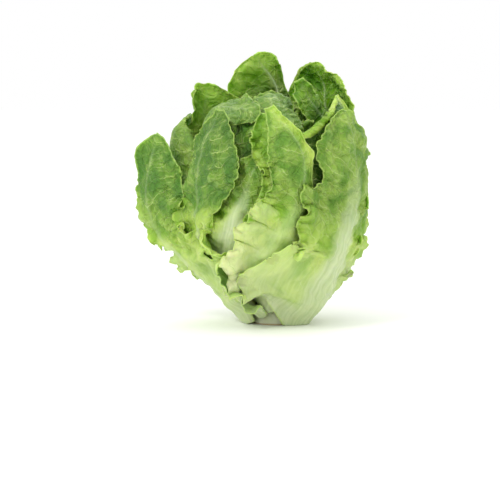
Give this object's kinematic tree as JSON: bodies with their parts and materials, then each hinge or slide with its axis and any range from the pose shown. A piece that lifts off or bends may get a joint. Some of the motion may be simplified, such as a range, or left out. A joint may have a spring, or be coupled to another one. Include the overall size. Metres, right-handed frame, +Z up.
{
  "type": "romaine lettuce head",
  "caption": "Upright little-gem romaine lettuce head: waved, overlapping green leaves with pale ribs, nested round a frilly heart on a flat cut butt.",
  "frame": {"origin": "centre of the flat cut face at the bottom of the stem", "axes": "+Z up along the head from the cut to the leaf tips, -Y towards the side seen in the picture, +X to the right in it"},
  "size_m": [0.1391, 0.1183, 0.1605],
  "materials": {
    "leaf_green": "satin, puckered, veined, slightly see-through",
    "leaf_bright": "satin, frilled, lit through",
    "stem_cut": "damp, pale, slightly browned at the cut"
  },
  "bodies": {
    "root": {"stump": "stem_cut", "leaf_left_wing": "leaf_green", "leaf_right": "leaf_green", "leaf_back": "leaf_green", "leaf_left_front": "leaf_green", "leaf_front": "leaf_green", "leaf_right_back": "leaf_green", "leaf_left_back": "leaf_green", "leaf_bright": "leaf_bright", "leaf_back_right": "leaf_green", "leaf_crest": "leaf_green", "leaf_front_left": "leaf_green", "leaf_back_left": "leaf_green", "leaf_cup": "leaf_green", "leaf_hood_left": "leaf_green", "leaf_inner_left": "leaf_green", "leaf_hood_right": "leaf_green", "leaf_inner_back": "leaf_green", "leaf_hood_front": "leaf_green", "heart": "leaf_bright"}
  },
  "joints": []
}
